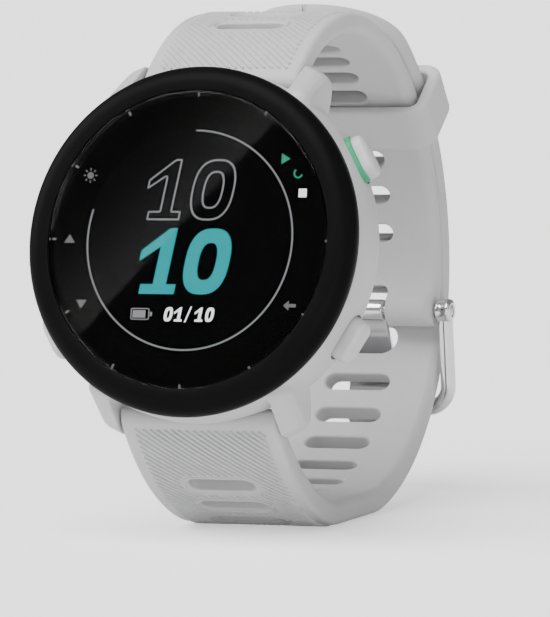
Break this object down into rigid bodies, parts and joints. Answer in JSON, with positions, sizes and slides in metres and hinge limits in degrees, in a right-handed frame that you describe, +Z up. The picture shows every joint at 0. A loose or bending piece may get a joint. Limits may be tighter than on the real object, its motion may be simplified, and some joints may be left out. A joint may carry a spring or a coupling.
{
  "type": "gps running watch",
  "caption": "Round sports watch with a dark lens, five side buttons and a slotted soft band closed by a steel buckle and keeper loop.",
  "frame": {"origin": "on the flat on which the closed band stands, under the middle of the band's width, between the two slots nearest the flat's middle", "axes": "+Z up, +X towards 3 o'clock, +Y away from the viewer: the dial faces -Y and leans back 13 degrees"},
  "size_m": [0.0443, 0.0662, 0.0628],
  "materials": {
    "case_shell": "satin",
    "bezel": "satin",
    "lens": "gloss",
    "display": "gloss",
    "black_plastic": "matte",
    "carrier": "matte",
    "flex": "satin",
    "board": "satin",
    "chip_black": "satin",
    "shield": "satin",
    "antenna": "satin",
    "battery": "satin",
    "motor": "satin",
    "brass": "satin",
    "seal": "matte",
    "cover": "satin",
    "screw": "satin",
    "window": "gloss",
    "led": "gloss",
    "accent": "satin",
    "cap": "satin",
    "band": "matte",
    "steel": "satin",
    "buckle_steel": "polished"
  },
  "bodies": {
    "watch_head": {"case_body": "case_shell", "bezel_ring": "bezel", "lens_glass": "lens", "lens_gasket": "seal", "lens_mask": "black_plastic", "display_panel": "display", "display_carrier": "carrier", "display_flex": "flex", "main_board": "board", "processor": "chip_black", "gps_receiver": "shield", "bluetooth_radio": "shield", "memory_chip": "chip_black", "motion_sensor": "chip_black", "gps_antenna": "antenna", "battery_cell": "battery", "battery_tab": "flex", "vibration_motor": "motor", "buzzer": "brass", "tact_switches": "carrier", "button_seals": "seal", "rear_cover": "cover", "rear_seal": "seal", "rear_screws": "screw", "sensor_window": "window", "light_baffle": "black_plastic", "sensor_board": "board", "sensor_leds": "led", "photodiodes": "chip_black", "charging_port": "black_plastic", "charging_contacts": "brass", "start_accent": "accent"},
    "start_button": {"start_cap": "cap", "start_clip": "screw"},
    "back_button": {"back_cap": "cap", "back_clip": "screw"},
    "light_button": {"light_cap": "cap", "light_clip": "screw"},
    "up_button": {"up_cap": "cap", "up_clip": "screw"},
    "down_button": {"down_cap": "cap", "down_clip": "screw"},
    "upper_band": {"upper_strap": "band", "upper_bar": "steel"},
    "lower_band": {"lower_strap": "band", "lower_bar": "steel"},
    "upper_knob": {"upper_release": "steel"},
    "lower_knob": {"lower_release": "steel"},
    "keeper": {"keeper_loop": "band"},
    "buckle": {"buckle_frame": "buckle_steel", "buckle_pin": "steel"},
    "tongue": {"buckle_tongue": "buckle_steel"}
  },
  "joints": [
    {"name": "start_press", "type": "slide", "parent": "watch_head", "child": "start_button", "axis": [-0.866, -0.1125, -0.4872], "range_m": [0, 0.0005], "stiffness_N_per_m": 1500, "springref_m": -0.0002},
    {"name": "back_press", "type": "slide", "parent": "watch_head", "child": "back_button", "axis": [-0.866, 0.1125, 0.4872], "range_m": [0, 0.0005], "stiffness_N_per_m": 1500, "springref_m": -0.0002},
    {"name": "light_press", "type": "slide", "parent": "watch_head", "child": "light_button", "axis": [0.866, -0.1125, -0.4872], "range_m": [0, 0.0005], "stiffness_N_per_m": 1500, "springref_m": -0.0002},
    {"name": "up_press", "type": "slide", "parent": "watch_head", "child": "up_button", "axis": [1, 0, 0], "range_m": [0, 0.0005], "stiffness_N_per_m": 1500, "springref_m": -0.0002},
    {"name": "down_press", "type": "slide", "parent": "watch_head", "child": "down_button", "axis": [0.866, 0.1125, 0.4872], "range_m": [0, 0.0005], "stiffness_N_per_m": 1500, "springref_m": -0.0002},
    {"name": "upper_band_hinge", "type": "hinge", "parent": "watch_head", "child": "upper_band", "pos_m": [0, -0.01266, 0.05444], "axis": [1, 0, 0], "range_deg": [-0.4, 0.4], "stiffness_Nm_per_rad": 2},
    {"name": "lower_band_hinge", "type": "hinge", "parent": "watch_head", "child": "lower_band", "pos_m": [0, -0.02188, 0.01449], "axis": [1, 0, 0], "range_deg": [-0.4, 0.4], "stiffness_Nm_per_rad": 2},
    {"name": "upper_release_slide", "type": "slide", "parent": "upper_band", "child": "upper_knob", "axis": [-1, 0, 0], "range_m": [0, 0.0015], "stiffness_N_per_m": 600, "springref_m": -0.001},
    {"name": "lower_release_slide", "type": "slide", "parent": "lower_band", "child": "lower_knob", "axis": [-1, 0, 0], "range_m": [0, 0.0015], "stiffness_N_per_m": 600, "springref_m": -0.001},
    {"name": "keeper_slide", "type": "hinge", "parent": "upper_band", "child": "keeper", "pos_m": [0, 0.00155, 0.0302], "axis": [1, 0, 0], "range_deg": [-17, 19]},
    {"name": "buckle_pivot", "type": "hinge", "parent": "upper_band", "child": "buckle", "pos_m": [0, 0.03025, 0.02327], "axis": [1, 0, 0], "range_deg": [0, 2.5]},
    {"name": "tongue_pivot", "type": "hinge", "parent": "buckle", "child": "tongue", "pos_m": [0, 0.03025, 0.02327], "axis": [1, 0, 0], "range_deg": [0, 1.8]}
  ],
  "couplings": [
    {"joint": "upper_band_hinge", "follows": "lower_band_hinge", "ratio": 1}
  ]
}
